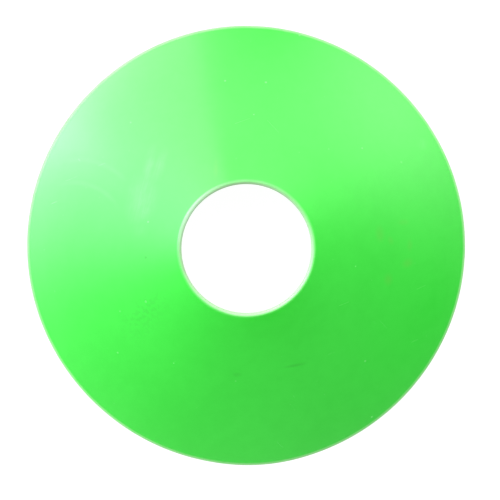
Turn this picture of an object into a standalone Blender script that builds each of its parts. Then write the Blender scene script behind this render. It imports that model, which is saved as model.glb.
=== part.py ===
"""A ring for lawn games, moulded in one piece of soft green plastic.

The ring is a thin wall in the shape of a shallow, slightly bulging cone. It is open at the top in a round
hole and it stands on its outer edge. Units are metres. +Z is up, the Z axis is the axis of the ring, and
z = 0 is the ground.

Points of the ring's section are pairs of (radius, height).
"""

import math

import bmesh
import bpy

# Driving dimensions
OUTER_RADIUS = 0.100
HOLE_RADIUS = 0.0273    # the clear radius, at the roundest part of the lip
HEIGHT = 0.048
WALL = 0.0026
BULGE_RADIUS = 0.600    # radius of the arc that the middle of the wall follows, from hole to edge
EDGE_BAND = 0.0010      # height of the upright band round the outer edge
FOOT_ROUNDING = 0.0005  # rounding of the three corners of the foot

# Fineness of the mesh
TURN_STEPS = 96
WALL_STEPS = 6
LIP_STEPS = 3           # for each of the lip's three stretches
CORNER_STEPS = 3
MERGE_DISTANCE = 0.00001

GREEN = (0.010, 0.460, 0.012, 1.0)
ROUGHNESS = 0.25


def clear_scene():
    for old in list(bpy.data.objects):
        bpy.data.objects.remove(old, do_unlink=True)


def make_collection(name):
    collection = bpy.data.collections.new(name)
    bpy.context.scene.collection.children.link(collection)
    return collection


def plastic(name, color, roughness):
    material = bpy.data.materials.new(name)
    material.use_nodes = True
    shader = material.node_tree.nodes["Principled BSDF"]
    shader.inputs["Base Color"].default_value = color
    shader.inputs["Roughness"].default_value = roughness
    shader.inputs["Metallic"].default_value = 0.0
    material.diffuse_color = color
    return material


def direction(start, end):
    """The angle of the line from start to end, counted up from the +radius direction."""
    return math.atan2(end[1] - start[1], end[0] - start[0])


def arc(centre, radius, start, end, steps):
    """Points on an arc, both ends included. Angles are in radians."""
    points = []
    for step in range(steps + 1):
        angle = start + (end - start) * step / steps
        points.append((centre[0] + radius * math.cos(angle), centre[1] + radius * math.sin(angle)))
    return points


def centre_through(first, first_radius, second, second_radius):
    """The lower of the two points that lie at the given distances from two points."""
    apart = math.dist(first, second)
    along = (apart**2 + first_radius**2 - second_radius**2) / (2 * apart)
    aside = math.sqrt(first_radius**2 - along**2)
    heading = direction(first, second)
    return (
        first[0] + along * math.cos(heading) + aside * math.sin(heading),
        first[1] + along * math.sin(heading) - aside * math.cos(heading),
    )


def rounded_corner(before, corner, after):
    """The arc that replaces a corner where the outline turns clockwise."""
    backward = direction(corner, before)
    forward = direction(corner, after)
    opening = (forward - backward) % (2 * math.pi)
    middle = backward + opening / 2
    reach = FOOT_ROUNDING / math.sin(opening / 2)
    centre = (corner[0] + reach * math.cos(middle), corner[1] + reach * math.sin(middle))
    half_turn = (math.pi - opening) / 2
    outward = middle + math.pi
    return arc(centre, FOOT_ROUNDING, outward + half_turn, outward - half_turn, CORNER_STEPS)


def ring_section():
    """The closed outline of the wall: down the upper face, in along the foot, and up the inner face."""
    half_wall = WALL / 2
    lip_centre = (HOLE_RADIUS + half_wall, HEIGHT - half_wall)
    band_top = (OUTER_RADIUS, EDGE_BAND)
    band_foot = (OUTER_RADIUS, 0.0)
    upper_radius = BULGE_RADIUS + half_wall
    inner_radius = BULGE_RADIUS - half_wall
    centre = centre_through(lip_centre, BULGE_RADIUS, band_top, upper_radius)
    lip_angle = direction(centre, lip_centre)
    edge_angle = direction(centre, band_top)
    foot_angle = math.asin(-centre[1] / inner_radius)

    # The lip is a half circle in three stretches, so that it passes through the clear radius and the top.
    lip = []
    stops = (lip_angle + math.pi, math.pi, math.pi / 2, lip_angle)
    for start, end in zip(stops, stops[1:]):
        lip += arc(lip_centre, half_wall, start, end, LIP_STEPS)[:-1]
    upper = arc(centre, upper_radius, lip_angle, edge_angle, WALL_STEPS)
    inner = arc(centre, inner_radius, foot_angle, lip_angle, WALL_STEPS)
    outline = lip + upper[:-1]
    outline += rounded_corner(upper[-2], band_top, band_foot)
    outline += rounded_corner(band_top, band_foot, inner[0])
    outline += rounded_corner(band_foot, inner[0], inner[1])
    outline += inner[1:-1]
    return outline


def turned(name, outline, material, collection):
    """A solid made by turning a closed outline about the Z axis."""
    mesh = bpy.data.meshes.new(name)
    profile = bmesh.new()
    corners = [profile.verts.new((radius, 0.0, height)) for radius, height in outline]
    for corner, following in zip(corners, corners[1:] + corners[:1]):
        profile.edges.new((corner, following))
    profile.to_mesh(mesh)
    profile.free()
    mesh.materials.append(material)
    solid = bpy.data.objects.new(name, mesh)
    collection.objects.link(solid)
    screw = solid.modifiers.new("turn", "SCREW")
    screw.axis = "Z"
    screw.angle = 2 * math.pi
    screw.steps = TURN_STEPS
    screw.render_steps = TURN_STEPS
    screw.use_smooth_shade = True
    screw.use_merge_vertices = True
    screw.merge_threshold = MERGE_DISTANCE
    return solid


def build():
    clear_scene()
    collection = make_collection("flying_ring")
    green = plastic("green_plastic", GREEN, ROUGHNESS)
    turned("ring_shell", ring_section(), green, collection)


build()
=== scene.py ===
"""The looks of a green moulded ring for lawn games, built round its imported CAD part.

The CAD solid gives the size and the place. This script makes the fine surface: a wall that is a little out of
true, a rounded lip, and soft mottled plastic with scuffs, scratches and dust. Units are metres, +Z is up, and
sections are drawn as points of (radius, height).
"""

import math

import bpy
from mathutils import Matrix, Vector


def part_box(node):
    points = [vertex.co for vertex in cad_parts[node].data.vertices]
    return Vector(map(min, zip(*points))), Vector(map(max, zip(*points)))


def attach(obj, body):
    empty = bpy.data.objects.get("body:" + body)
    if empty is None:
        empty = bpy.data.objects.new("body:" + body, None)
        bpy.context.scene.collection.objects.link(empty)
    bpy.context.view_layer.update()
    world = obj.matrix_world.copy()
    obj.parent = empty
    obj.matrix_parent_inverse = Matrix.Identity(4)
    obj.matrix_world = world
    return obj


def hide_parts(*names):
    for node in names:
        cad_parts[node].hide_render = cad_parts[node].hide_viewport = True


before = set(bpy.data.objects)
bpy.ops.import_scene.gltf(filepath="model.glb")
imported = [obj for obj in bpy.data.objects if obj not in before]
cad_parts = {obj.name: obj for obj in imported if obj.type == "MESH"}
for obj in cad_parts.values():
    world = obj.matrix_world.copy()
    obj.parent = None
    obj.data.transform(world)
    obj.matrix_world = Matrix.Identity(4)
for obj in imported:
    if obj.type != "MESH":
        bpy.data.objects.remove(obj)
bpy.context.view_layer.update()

# The ring, from the frame
NODE = "ring_shell"
BOX_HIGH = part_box(NODE)[1]
OUTER_RADIUS = BOX_HIGH.x
HEIGHT = BOX_HIGH.z
HOLE_RADIUS = min(math.hypot(v.co.x, v.co.y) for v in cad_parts[NODE].data.vertices)

# The ring's section, as it is in the CAD part
WALL = 0.0026
BULGE_RADIUS = 0.600
EDGE_BAND = 0.0010
FOOT_ROUNDING = 0.0005

# Fineness of the visual mesh
AROUND = 384
WALL_STEPS = 40
LIP_STEPS = 7
CORNER_STEPS = 4

# How far a soft ring is out of true. Each wave is (waves round the ring, height, turn in degrees).
EDGE_SHRINK = 0.00055    # keeps the waves and the bulge inside the CAD part's outer circle
EDGE_WAVES = ((2, 0.00012, 180), (4, 0.00014, 0))    # a little oval and a little square
EDGE_BULGE = 0.0003      # where the edge is pressed out, on the -Y side
BULGE_ANGLE = -85
BULGE_REACH = 20         # degrees each way
HOLE_WAVES = ((2, 0.0001, 0),)    # a little oval
WALL_WAVES = ((2, 0.00010, 35), (3, 0.00008, 300), (5, 0.00004, 110))
LIP_REACH = 2 * WALL     # the lip and the foot keep their heights, so that the ring stands flat
FOOT_REACH = 0.0035


# ---------------------------------------------------------------- the ring's mesh


def direction(start, end):
    """The angle of the line from start to end, counted up from the +radius direction."""
    return math.atan2(end[1] - start[1], end[0] - start[0])


def arc(centre, radius, start, end, steps):
    """Points on an arc, both ends included. Angles are in radians."""
    points = []
    for step in range(steps + 1):
        angle = start + (end - start) * step / steps
        points.append((centre[0] + radius * math.cos(angle), centre[1] + radius * math.sin(angle)))
    return points


def centre_through(first, first_radius, second, second_radius):
    """The lower of the two points that lie at the given distances from two points."""
    apart = math.dist(first, second)
    along = (apart**2 + first_radius**2 - second_radius**2) / (2 * apart)
    aside = math.sqrt(first_radius**2 - along**2)
    heading = direction(first, second)
    return (
        first[0] + along * math.cos(heading) + aside * math.sin(heading),
        first[1] + along * math.sin(heading) - aside * math.cos(heading),
    )


def rounded_corner(before, corner, after):
    """The arc that replaces a corner where the outline turns clockwise."""
    backward = direction(corner, before)
    forward = direction(corner, after)
    opening = (forward - backward) % (2 * math.pi)
    middle = backward + opening / 2
    reach = FOOT_ROUNDING / math.sin(opening / 2)
    centre = (corner[0] + reach * math.cos(middle), corner[1] + reach * math.sin(middle))
    half_turn = (math.pi - opening) / 2
    outward = middle + math.pi
    return arc(centre, FOOT_ROUNDING, outward + half_turn, outward - half_turn, CORNER_STEPS)


def ring_section():
    """The closed outline of the wall: down the upper face, in along the foot, and up the inner face."""
    half_wall = WALL / 2
    lip_centre = (HOLE_RADIUS + half_wall, HEIGHT - half_wall)
    band_top = (OUTER_RADIUS, EDGE_BAND)
    band_foot = (OUTER_RADIUS, 0.0)
    upper_radius = BULGE_RADIUS + half_wall
    inner_radius = BULGE_RADIUS - half_wall
    centre = centre_through(lip_centre, BULGE_RADIUS, band_top, upper_radius)
    lip_angle = direction(centre, lip_centre)
    edge_angle = direction(centre, band_top)
    foot_angle = math.asin(-centre[1] / inner_radius)

    # The lip is a half circle in three stretches, so that it passes through the clear radius and the top
    lip = []
    stops = (lip_angle + math.pi, math.pi, math.pi / 2, lip_angle)
    for start, end in zip(stops, stops[1:]):
        lip += arc(lip_centre, half_wall, start, end, LIP_STEPS)[:-1]
    upper = arc(centre, upper_radius, lip_angle, edge_angle, WALL_STEPS)
    inner = arc(centre, inner_radius, foot_angle, lip_angle, WALL_STEPS)
    outline = lip + upper[:-1]
    outline += rounded_corner(upper[-2], band_top, band_foot)
    outline += rounded_corner(band_top, band_foot, inner[0])
    outline += rounded_corner(band_foot, inner[0], inner[1])
    outline += inner[1:-1]
    return outline


def share_of_way(value, low, high):
    """How far value is from low to high, from 0 to 1."""
    return min(max((value - low) / (high - low), 0.0), 1.0)


def wave_sum(waves, angle):
    """The height of all the waves together at an angle in radians."""
    return sum(height * math.cos(count * angle - math.radians(turn)) for count, height, turn in waves)


def bulge(angle):
    """How far the edge is pressed out at an angle in radians."""
    aside = abs((math.degrees(angle) - BULGE_ANGLE + 180) % 360 - 180)
    return EDGE_BULGE * math.cos(math.pi / 2 * share_of_way(aside, 0, BULGE_REACH)) ** 2


def out_of_true(radius, height, angle):
    """Where a point of the perfect section lies on the real ring, which is slightly oval and wavy."""
    outward = share_of_way(radius, HOLE_RADIUS, OUTER_RADIUS)
    lifted = share_of_way(radius, HOLE_RADIUS + LIP_REACH, OUTER_RADIUS - FOOT_REACH)
    radius += outward**3 * (wave_sum(EDGE_WAVES, angle) + bulge(angle) - EDGE_SHRINK)
    radius += (1 - outward) ** 3 * wave_sum(HOLE_WAVES, angle)
    height += 4 * lifted * (1 - lifted) * wave_sum(WALL_WAVES, angle)
    return radius, height


def make_ring():
    """The section turned about Z, with every point moved to where the ring is out of true."""
    outline = ring_section()
    count = len(outline)
    points = []
    faces = []
    for turn in range(AROUND):
        angle = 2 * math.pi * turn / AROUND
        for radius, height in outline:
            radius, height = out_of_true(radius, height, angle)
            points.append((radius * math.cos(angle), radius * math.sin(angle), height))
        here = turn * count
        there = (turn + 1) % AROUND * count
        for low in range(count):
            high = (low + 1) % count
            faces.append((here + low, here + high, there + high, there + low))
    mesh = bpy.data.meshes.new("ring_moulding")
    mesh.from_pydata(points, [], faces)
    mesh.validate()
    mesh.shade_smooth()
    ring = bpy.data.objects.new("ring_moulding", mesh)
    bpy.context.scene.collection.objects.link(ring)
    return ring


# ---------------------------------------------------------------- node helpers


class Nodes:
    """Short names for the shader nodes that the light and the plastic use."""

    def __init__(self, tree):
        self.tree = tree

    def add(self, kind, **settings):
        node = self.tree.nodes.new(kind)
        for name, value in settings.items():
            setattr(node, name, value)
        return node

    def feed(self, socket, value):
        """Link a socket to another node's output, or set it to a plain value."""
        if isinstance(value, bpy.types.NodeSocket):
            self.tree.links.new(value, socket)
        else:
            socket.default_value = value

    def math(self, operation, *values):
        node = self.add("ShaderNodeMath", operation=operation)
        for socket, value in zip(node.inputs, values):
            self.feed(socket, value)
        return node.outputs[0]

    def total(self, first, *others):
        for other in others:
            first = self.math("ADD", first, other)
        return first

    def product(self, first, *others):
        for other in others:
            first = self.math("MULTIPLY", first, other)
        return first

    def largest(self, masks):
        top = masks[0]
        for mask in masks[1:]:
            top = self.math("MAXIMUM", top, mask)
        return top

    def step(self, value, low, high, new_low=0.0, new_high=1.0):
        """A smooth step from new_low to new_high as value goes from low to high."""
        node = self.add("ShaderNodeMapRange", interpolation_type="SMOOTHSTEP")
        for socket, number in zip(node.inputs, (value, low, high, new_low, new_high)):
            self.feed(socket, number)
        return node.outputs[0]

    def noise(self, vector, scale, detail=2.0, roughness=0.5):
        node = self.add("ShaderNodeTexNoise")
        self.feed(node.inputs["Vector"], vector)
        self.feed(node.inputs["Scale"], scale)
        self.feed(node.inputs["Detail"], detail)
        self.feed(node.inputs["Roughness"], roughness)
        return node.outputs["Fac"]

    def combine(self, x, y, z):
        node = self.add("ShaderNodeCombineXYZ")
        for socket, value in zip(node.inputs, (x, y, z)):
            self.feed(socket, value)
        return node.outputs[0]

    def blend(self, share, first, second):
        """The first colour where share is 0 and the second where it is 1."""
        node = self.add("ShaderNodeMix", data_type="RGBA")
        colors = [socket for socket in node.inputs if socket.type == "RGBA"]
        self.feed(node.inputs["Factor"], share)
        self.feed(colors[0], first)
        self.feed(colors[1], second)
        return next(socket for socket in node.outputs if socket.type == "RGBA")


# ---------------------------------------------------------------- stage, light and camera

CAMERA_PLACE = Vector((-0.0009, 0.0152, 0.650))
CAMERA_TARGET = Vector((0.0017, -0.0018, 0.0))
VIEW_WIDTH = 0.2274      # how much ground the picture takes in, from side to side
SENSOR = 36.0            # millimetres

FLOOR_SIZE = 40.0
FLOOR_LEVEL = -0.00005   # just clear of the foot
FLOOR_GREY = (0.12, 0.12, 0.12, 1.0)
FLOOR_ROUGHNESS = 0.9
FLOOR_GLOW = 0.97

WHITE = (1.0, 1.0, 1.0, 1.0)
COOL_WHITE = (0.80, 0.95, 1.0, 1.0)
BLACK = (0.0, 0.0, 0.0)

# The light depends on direction only: an azimuth, counted from WINDOW_HEADING, and an elevation, in degrees.
# A pair of them says where a light is gone and where it is full.
WINDOW_HEADING = 140     # from +X
HORIZON = (-2, 2)

PANEL_GLOW = 1.25
PANEL_TOP = (50, 30)
PANEL_START = (-165, -50)
PANEL_START_LEAN = 0.4   # degrees of azimuth for each degree of elevation
PANEL_END = (110, -10)

WINDOW_GLOW = 1.9
WINDOW_TOP = (80, 60)
WINDOW_SIDE = (-39.5, -37.5)    # a sharp edge
WINDOW_SIDE_LEAN = 0.2
WINDOW_END = (65, 20)
# It is brighter higher up and dimmer near its sharp edge: two angles, and the share of its glow at each
WINDOW_RISE = (30, 50, 1.0, 1.5)
WINDOW_DIM_SIDE = (-30, 0, 0.6, 1.0)

# Soft round lamps: azimuth, elevation, width, height, brightness. Those below 0 take light away.
LOW_STRIP = (10, 3, 30, 3, 8)
LOW_LAMP = (10, 9, 8, 5, 3)
HIGH_LAMP = (10, 60, 35, 15, 2.5)
LOW_SIDE_LAMP = (-100, 9, 25, 12, 1.4)
HIGH_SIDE_LAMP = (-70, 50, 30, 15, 1.75)
LOW_SHADE = (-55, 0, 15, 10, -1.3)
HIGH_SHADE = (150, 50, 30, 15, -1.5)
FAR_WALL_SHADE = (-165, 5, 35, 8, -0.4)

COOL_SIDE = (-40, 20)    # the lamps are white before this and cool white past it

WALL_GLOW = 0.43
WALL_TOP = (60, 35)
CEILING_START = (35, 60)
CEILING_GLOW = 1.3
CEILING_SWING = 0.6      # how much brighter it is on its bright side, and dimmer on the other
CEILING_SIDE = -80       # the azimuth of its bright side


def make_camera():
    """A camera nearly straight above the ring, with +Y up in the picture."""
    data = bpy.data.cameras.new("camera")
    data.sensor_width = SENSOR
    data.lens = SENSOR * CAMERA_PLACE.z / VIEW_WIDTH
    camera = bpy.data.objects.new("camera", data)
    bpy.context.scene.collection.objects.link(camera)
    back = (CAMERA_PLACE - CAMERA_TARGET).normalized()
    right = Vector((0.0, 1.0, 0.0)).cross(back).normalized()
    up = back.cross(right)
    turn = Matrix((right, up, back)).transposed().to_4x4()
    camera.matrix_world = Matrix.Translation(CAMERA_PLACE) @ turn
    bpy.context.scene.camera = camera


def make_floor():
    """A wide light table that glows white, so that almost no shadow of the ring shows on it."""
    bpy.ops.mesh.primitive_plane_add(size=FLOOR_SIZE, location=(0.0, 0.0, FLOOR_LEVEL))
    floor = bpy.context.object
    floor.name = "floor"
    material = bpy.data.materials.new("white_floor")
    material.use_nodes = True
    shader = material.node_tree.nodes["Principled BSDF"]
    shader.inputs["Base Color"].default_value = FLOOR_GREY
    shader.inputs["Roughness"].default_value = FLOOR_ROUGHNESS
    shader.inputs["Specular IOR Level"].default_value = 0.0
    shader.inputs["Emission Color"].default_value = WHITE
    shader.inputs["Emission Strength"].default_value = FLOOR_GLOW
    floor.data.materials.append(material)


def make_light():
    """A white studio: a long panel, a brighter window, soft lamps low and high, grey walls and a ceiling."""
    world = bpy.data.worlds.new("studio")
    bpy.context.scene.world = world
    world.use_nodes = True
    nodes = Nodes(world.node_tree)
    turned = nodes.add("ShaderNodeVectorRotate", rotation_type="Z_AXIS")
    nodes.feed(turned.inputs["Vector"], nodes.add("ShaderNodeTexCoord").outputs["Generated"])
    nodes.feed(turned.inputs["Angle"], math.radians(-WINDOW_HEADING))
    parts = nodes.add("ShaderNodeSeparateXYZ")
    nodes.feed(parts.inputs[0], turned.outputs[0])
    x, y, z = parts.outputs
    azimuth = nodes.math("DEGREES", nodes.math("ARCTAN2", y, x))
    elevation = nodes.math("DEGREES", nodes.math("ARCSINE", z))

    def leaning(lean):
        """The azimuth measured from a line that leans over as it rises."""
        return nodes.math("SUBTRACT", azimuth, nodes.product(elevation, lean))

    def spot(at_azimuth, at_elevation, width, height, strength):
        """A soft round lamp, which is 1/e as bright at width or height from its middle."""
        aside = nodes.math("WRAP", nodes.math("SUBTRACT", azimuth, at_azimuth), 180, -180)
        across = nodes.product(aside, 1 / width)
        above = nodes.product(nodes.math("SUBTRACT", elevation, at_elevation), 1 / height)
        distance = nodes.total(nodes.product(across, across), nodes.product(above, above))
        return nodes.product(nodes.math("EXPONENT", nodes.product(distance, -1.0)), strength)

    above_floor = nodes.step(elevation, *HORIZON)
    panel = nodes.product(
        above_floor,
        nodes.step(elevation, *PANEL_TOP),
        nodes.step(leaning(PANEL_START_LEAN), *PANEL_START),
        nodes.step(azimuth, *PANEL_END),
        PANEL_GLOW,
    )
    window = nodes.product(
        above_floor,
        nodes.step(elevation, *WINDOW_TOP),
        nodes.step(elevation, *WINDOW_RISE),
        nodes.step(leaning(WINDOW_SIDE_LEAN), *WINDOW_SIDE),
        nodes.step(azimuth, *WINDOW_DIM_SIDE),
        nodes.step(azimuth, *WINDOW_END),
        WINDOW_GLOW,
    )
    lamps = nodes.total(
        panel,
        window,
        spot(*LOW_STRIP),
        spot(*LOW_LAMP),
        spot(*HIGH_LAMP),
        spot(*LOW_SIDE_LAMP),
        spot(*HIGH_SIDE_LAMP),
        spot(*LOW_SHADE),
        spot(*HIGH_SHADE),
    )
    tint = nodes.blend(nodes.step(azimuth, *COOL_SIDE), WHITE, COOL_WHITE)

    # The room: grey walls, which glow down to the ground and below it, and a brighter ceiling
    side = nodes.math("COSINE", nodes.math("RADIANS", nodes.total(azimuth, -CEILING_SIDE)))
    ceiling = nodes.total(nodes.product(side, CEILING_SWING), CEILING_GLOW)
    room = nodes.total(
        nodes.step(elevation, *WALL_TOP, 0.0, WALL_GLOW),
        nodes.product(nodes.step(elevation, *CEILING_START), ceiling),
        spot(*FAR_WALL_SHADE),
    )

    # The tinted lamps and the room together, with no light less than none
    glow = nodes.add("ShaderNodeVectorMath", operation="MULTIPLY_ADD")
    nodes.feed(glow.inputs[0], tint)
    nodes.feed(glow.inputs[1], nodes.combine(lamps, lamps, lamps))
    nodes.feed(glow.inputs[2], nodes.combine(room, room, room))
    light = nodes.add("ShaderNodeVectorMath", operation="MAXIMUM")
    nodes.feed(light.inputs[0], glow.outputs[0])
    nodes.feed(light.inputs[1], BLACK)

    # The lamps themselves stay out of sight: past the floor the camera sees plain white
    seen = nodes.add("ShaderNodeLightPath").outputs["Is Camera Ray"]
    color = nodes.blend(seen, light.outputs[0], WHITE)
    nodes.feed(world.node_tree.nodes["Background"].inputs["Color"], color)
    bpy.context.scene.view_settings.view_transform = "Standard"


# ---------------------------------------------------------------- plastic

# Colours in linear light
DEEP_GREEN = (0.018, 0.610, 0.022, 1.0)
LIGHT_GREEN = (0.022, 0.640, 0.026, 1.0)
RUBBED_GREEN = (0.170, 0.700, 0.180, 1.0)
# The lip's paler green: partly wear, partly a painted sheen where the rounded lip catches the light
LIP_WEAR_AND_SHEEN_GREEN = (0.130, 0.640, 0.120, 1.0)
# A painted highlight: the pale whitish green of the lip's crest and inner side, where it catches the light
LIP_INNER_HIGHLIGHT_GREEN = (0.350, 0.580, 0.300, 1.0)
# A painted highlight on the lip, on the window side
LIP_HIGHLIGHT_GREEN = (0.520, 0.780, 0.520, 1.0)
# A painted highlight: the pale rim along the outer edge, where it catches the light
EDGE_HIGHLIGHT_GREEN = (0.220, 0.660, 0.180, 1.0)
DUST_COLOR = (0.500, 0.800, 0.480, 1.0)
STAIN_COLOR = (0.008, 0.380, 0.010, 1.0)
SMUDGE_COLOR = (0.250, 0.180, 0.030, 1.0)

# The plain surface
GLOSS = 1.0
ROUGHNESS = (0.22, 0.25)      # least and most, in wide patches
UNDERSIDE_ROUGHNESS = 0.14    # how much rougher the underside is, where no one polished the mould

# Scales of the noises, per metre
CLOUDS = 22.0
MOTTLE = 170.0
GRAIN = 620.0
MOULD_RINGS = 700.0

# Relief
MICROMETRE = 0.000001
ORANGE_PEEL = 6 * MICROMETRE
RING_RELIEF = (6 * MICROMETRE, 1.5 * MICROMETRE)    # on the underside and on the upper face

# How much of its colour each kind of mark lays on the plastic
RUB_TINT = 0.40
SMUDGE_TINT = 0.10
ARC_TINT = 0.14
HAIR_TINT = 0.02
PIT_TINT = 0.24
STAIN_TINT = 0.45
FAINT_DUST_TINT = 0.04

# How much rougher each kind of mark or wear makes the plastic
RUB_ROUGHNESS = 0.06
ARC_ROUGHNESS = 0.05
HAIR_ROUGHNESS = 0.03
PIT_ROUGHNESS = 0.04
DUST_ROUGHNESS = 0.50
LIP_ROUGHNESS = 0.05
EDGE_ROUGHNESS = 0.10

# How high each kind stands above the face. Below 0 it is cut in.
RUB_HEIGHT = 4 * MICROMETRE
ARC_HEIGHT = -4 * MICROMETRE
HAIR_HEIGHT = -1 * MICROMETRE
PIT_HEIGHT = -6 * MICROMETRE
DUST_HEIGHT = 30 * MICROMETRE

# Wear and painted highlight on the lip and the outer edge: how far each reaches from the clear hole and up
# from the ground, where it is gone and where it is full
LIP_WEAR_AND_SHEEN = (0.0024, 0.0010)
LIP_INNER_HIGHLIGHT = (0.0015, 0.0003)
EDGE_WEAR_AND_SHEEN = (0.0022, 0.0013)

# Marks on the upper face, as seen from above, in metres and degrees.
# Soft ovals: middle, turn, half the length, half the width, strength.
RUBS_AND_GLINT = (
    ((-0.042, 0.035), 80, 0.012, 0.0035, 0.7),
    ((-0.038, 0.034), 70, 0.012, 0.0035, 0.6),
    ((-0.045, 0.021), 80, 0.015, 0.0090, 0.8),
    ((-0.044, 0.016), 85, 0.006, 0.0050, 1.0),
    ((-0.046, 0.008), 90, 0.006, 0.0050, 0.2),
    # This last one is no rub: a small painted highlight near the outer edge on the upper right
    ((0.079, 0.046), 0, 0.004, 0.0040, 0.4),
)
SMUDGES = (
    ((0.058, 0.006), 95, 0.005, 0.003, 1.0),
    ((0.063, 0.003), 110, 0.003, 0.002, 0.8),
    ((0.069, 0.011), 0, 0.004, 0.002, 0.7),
    ((0.071, -0.007), 20, 0.004, 0.003, 0.9),
    ((0.072, 0.001), 90, 0.004, 0.002, 0.7),
    ((0.062, -0.014), 90, 0.004, 0.003, 0.9),
    ((-0.013, 0.034), 90, 0.006, 0.0015, 0.6),
)
STAINS = (
    ((0.021, -0.051), 10, 0.007, 0.0010, 0.9),
    ((-0.004, -0.055), 0, 0.003, 0.0015, 0.6),
)
# A dark dot: middle, radius, strength
DARK_SPECK = ((-0.043, -0.004), 0.0010, 0.9)
# Curved rubs: middle of the mark, centre of its curve, half the length, half the width, strength.
ARCS = (
    ((-0.065, 0.037), (-0.076, 0.005), 0.018, 0.0018, 0.5),
    ((-0.068, 0.027), (-0.077, 0.002), 0.018, 0.0018, 0.5),
)
# A painted highlight on the lip, on the window side, and where the face is pitted
LIP_HIGHLIGHT_PATCH = ((-0.024, 0.016), 0, 0.024, 0.024, 0.8)
PITTED_PATCH = ((-0.044, -0.026), 60, 0.024, 0.014)
# The fine brushing within the rubs: direction, length and width of its strokes
BRUSHING = (75, 0.0080, 0.0006)
# Scratches all over, in two directions: direction, spacing, and a shift that sets the two apart
HAIRLINES = ((20, 0.0005, 0.31), (-48, 0.0006, 0.77))
HAIRLINE_LENGTH = 0.050
HAIRLINE_BREAKS = (0.012, 0.004)    # length and width of the stretches that the scratches come in
# Dust: the spacing of the cells that may hold a speck, its radius, and the share of cells that do
DUST = (0.0120, 0.0007, 0.80)
DUST_STRENGTH = 0.10     # of its colour, its roughness and its height alike
FAINT_DUST = (0.0060, 0.0004, 0.30)


class Surface(Nodes):
    """The nodes of a surface, with its position and the masks that depend on it."""

    def __init__(self, material):
        super().__init__(material.node_tree)
        here = self.add("ShaderNodeTexCoord")
        self.place = here.outputs["Object"]
        x, y, self.z = self.split(self.place)
        self.flat = self.combine(x, y, 0.0)
        self.radius = self.length(self.flat)
        facing_up = self.split(here.outputs["Normal"])[2]
        self.upper = self.step(facing_up, -0.2, 0.2)    # 0 on the underside, 1 on the upper face

    def split(self, vector):
        node = self.add("ShaderNodeSeparateXYZ")
        self.feed(node.inputs[0], vector)
        return node.outputs

    def length(self, vector):
        node = self.add("ShaderNodeVectorMath", operation="LENGTH")
        self.feed(node.inputs[0], vector)
        return node.outputs["Value"]

    def distance(self, point):
        """The distance from a point of the plan, as seen from above."""
        node = self.add("ShaderNodeVectorMath", operation="DISTANCE")
        self.feed(node.inputs[0], self.flat)
        self.feed(node.inputs[1], (point[0], point[1], 0.0))
        return node.outputs["Value"]

    def local(self, centre, turn, length, width):
        """The position in the frame of a mark, where the mark reaches from -1 to 1 each way."""
        node = self.add("ShaderNodeMapping", vector_type="TEXTURE")
        self.feed(node.inputs["Vector"], self.flat)
        self.feed(node.inputs["Location"], (centre[0], centre[1], 0.0))
        self.feed(node.inputs["Rotation"], (0.0, 0.0, math.radians(turn)))
        self.feed(node.inputs["Scale"], (length, width, 1.0))
        return node.outputs[0]

    def oval(self, centre, turn, length, width, strength=1.0):
        """The strength in the middle of a soft oval, 0 outside it."""
        return self.step(self.length(self.local(centre, turn, length, width)), 1.0, 0.0, 0.0, strength)

    def curved(self, middle, centre, reach, width, strength):
        """The strength along a soft curved line, fading towards its ends."""
        bend = math.dist(middle, centre)
        aside = self.math("ABSOLUTE", self.math("SUBTRACT", self.distance(centre), bend))
        along = self.step(self.distance(middle), reach, 0.4 * reach)
        return self.product(self.step(aside, width, 0.0, 0.0, strength), along)

    def dot(self, centre, radius, strength):
        """A small round mark with a soft edge."""
        return self.step(self.distance(centre), radius, 0.3 * radius, 0.0, strength)

    def hairlines(self, turn, spacing, shift):
        """Faint straight scratches at one angle, broken up into short stretches."""
        lines = self.noise(self.local((shift, shift), turn, HAIRLINE_LENGTH, spacing), 1.0, 2.0)
        breaks = self.noise(self.local((shift, 0.0), turn, *HAIRLINE_BREAKS), 1.0, 1.0)
        return self.product(self.step(lines, 0.66, 0.72), self.step(breaks, 0.50, 0.62))

    def specks(self, spacing, size, share):
        """Round specks: one of radius size in each cell of a random pattern, in that share of the cells."""
        node = self.add("ShaderNodeTexVoronoi", voronoi_dimensions="3D")
        self.feed(node.inputs["Vector"], self.place)
        self.feed(node.inputs["Scale"], 1.0 / spacing)
        pick = self.add("ShaderNodeSeparateColor")
        self.feed(pick.inputs[0], node.outputs["Color"])
        here = self.math("LESS_THAN", pick.outputs[2], share)
        near = self.product(node.outputs["Distance"], spacing / size)
        return self.product(here, self.step(near, 1.0, 0.5))


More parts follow.
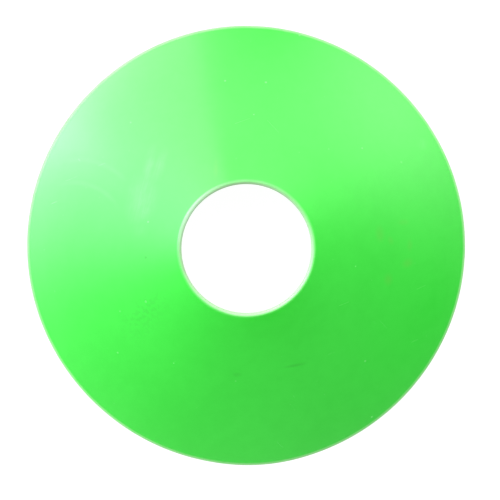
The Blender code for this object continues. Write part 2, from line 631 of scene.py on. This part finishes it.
def green_plastic():
    """Soft plastic, coloured right through, with its marks and its wear, and painted highlights on the lip
    and the outer edge.
    """
    material = bpy.data.materials.new("green_plastic")
    material.use_nodes = True
    shader = material.node_tree.nodes["Principled BSDF"]
    on = Surface(material)

    # Pigment: wide clouds, mottling and fine grain. A noise mostly stays between 0.3 and 0.7, which is why
    # the steps on it lie there.
    clouds = on.noise(on.place, CLOUDS, 3.0)
    mottle = on.noise(on.place, MOTTLE, 3.0)
    grain = on.noise(on.place, GRAIN, 2.0)
    shade = on.total(on.product(clouds, 0.50), on.product(mottle, 0.35), on.product(grain, 0.15))
    color = on.blend(on.step(shade, 0.35, 0.65), DEEP_GREEN, LIGHT_GREEN)

    # Rubs and one painted highlight, stains, scratches and dust, all on the upper face
    uneven = on.step(mottle, 0.30, 0.60, 0.6, 1.0)
    strokes = on.noise(on.local((0.0, 0.0), *BRUSHING), 1.0)
    brushed = on.step(strokes, 0.35, 0.65, 0.6, 1.0)
    rubs_and_glint = on.product(on.upper, on.largest([on.oval(*mark) for mark in RUBS_AND_GLINT]), uneven, brushed)
    smudges = on.product(on.upper, on.largest([on.oval(*mark) for mark in SMUDGES]), uneven)
    stains = on.product(on.upper, on.largest([on.oval(*mark) for mark in STAINS]))
    arcs = on.product(on.upper, on.largest([on.curved(*mark) for mark in ARCS]))
    hairs = on.product(on.upper, on.largest([on.hairlines(*lines) for lines in HAIRLINES]))
    dust = on.product(on.upper, on.specks(*DUST), DUST_STRENGTH)
    faint_dust = on.product(on.upper, on.specks(*FAINT_DUST))
    pits = on.product(on.upper, on.oval(*PITTED_PATCH), on.step(grain, 0.47, 0.60))
    # Rubs, and one small painted highlight among them
    color = on.blend(on.product(rubs_and_glint, RUB_TINT), color, RUBBED_GREEN)
    color = on.blend(on.product(smudges, SMUDGE_TINT), color, SMUDGE_COLOR)
    color = on.blend(on.product(arcs, ARC_TINT), color, RUBBED_GREEN)
    color = on.blend(on.product(hairs, HAIR_TINT), color, RUBBED_GREEN)
    color = on.blend(on.product(pits, PIT_TINT), color, STAIN_COLOR)
    color = on.blend(on.product(stains, STAIN_TINT), color, STAIN_COLOR)
    color = on.blend(on.product(on.upper, on.dot(*DARK_SPECK)), color, STAIN_COLOR)
    color = on.blend(on.product(faint_dust, FAINT_DUST_TINT), color, DUST_COLOR)
    color = on.blend(dust, color, DUST_COLOR)

    # Pale colour on the lip and along the outer edge: partly wear where the ring is handled and slides,
    # partly painted highlight where the lip's crest and the edge's rim catch the light
    lip_wear_and_sheen = on.step(on.radius, *(HOLE_RADIUS + reach for reach in LIP_WEAR_AND_SHEEN))
    lip_inner_highlight = on.step(on.radius, *(HOLE_RADIUS + reach for reach in LIP_INNER_HIGHLIGHT))
    edge_wear_and_sheen = on.step(on.z, *EDGE_WEAR_AND_SHEEN)
    patchy = on.step(mottle, 0.30, 0.60, 0.7, 1.0)
    # Paler lip: partly wear, partly painted sheen where the rounded lip catches the light
    color = on.blend(on.product(lip_wear_and_sheen, patchy), color, LIP_WEAR_AND_SHEEN_GREEN)
    # Painted highlight: the crest and inner side of the lip go pale
    color = on.blend(lip_inner_highlight, color, LIP_INNER_HIGHLIGHT_GREEN)
    # Painted highlight: a pale stretch of the lip on the window side
    color = on.blend(on.product(lip_wear_and_sheen, on.oval(*LIP_HIGHLIGHT_PATCH)), color, LIP_HIGHLIGHT_GREEN)
    # Painted highlight: a pale rim along the outer edge; its roughness below is wear
    color = on.blend(on.product(edge_wear_and_sheen, patchy), color, EDGE_HIGHLIGHT_GREEN)
    on.feed(shader.inputs["Base Color"], color)
    shader.inputs["Specular IOR Level"].default_value = GLOSS

    rough = on.total(
        on.step(clouds, 0.3, 0.7, *ROUGHNESS),
        on.step(on.upper, 0.0, 1.0, UNDERSIDE_ROUGHNESS, 0.0),
        on.product(rubs_and_glint, RUB_ROUGHNESS),
        on.product(arcs, ARC_ROUGHNESS),
        on.product(hairs, HAIR_ROUGHNESS),
        on.product(pits, PIT_ROUGHNESS),
        on.product(dust, DUST_ROUGHNESS),
        on.product(lip_wear_and_sheen, LIP_ROUGHNESS),
        on.product(edge_wear_and_sheen, EDGE_ROUGHNESS),
    )
    on.feed(shader.inputs["Roughness"], rough)

    # Relief in metres: orange peel, the rings of the turned mould, and what the wear leaves
    rings = on.add("ShaderNodeTexNoise", noise_dimensions="1D")
    on.feed(rings.inputs["W"], on.radius)
    on.feed(rings.inputs["Scale"], MOULD_RINGS)
    relief = on.total(
        on.product(grain, ORANGE_PEEL),
        on.product(rings.outputs["Fac"], on.step(on.upper, 0.0, 1.0, *RING_RELIEF)),
        on.product(rubs_and_glint, mottle, RUB_HEIGHT),
        on.product(arcs, ARC_HEIGHT),
        on.product(hairs, HAIR_HEIGHT),
        on.product(pits, PIT_HEIGHT),
        on.product(dust, DUST_HEIGHT),
    )
    bump = on.add("ShaderNodeBump")
    on.feed(bump.inputs["Height"], relief)
    on.feed(bump.inputs["Strength"], 1.0)
    on.feed(bump.inputs["Distance"], 1.0)
    on.feed(shader.inputs["Normal"], bump.outputs[0])
    return material


ring = make_ring()
ring.data.materials.append(green_plastic())
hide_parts(NODE)
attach(ring, "root")
make_floor()
make_light()
make_camera()
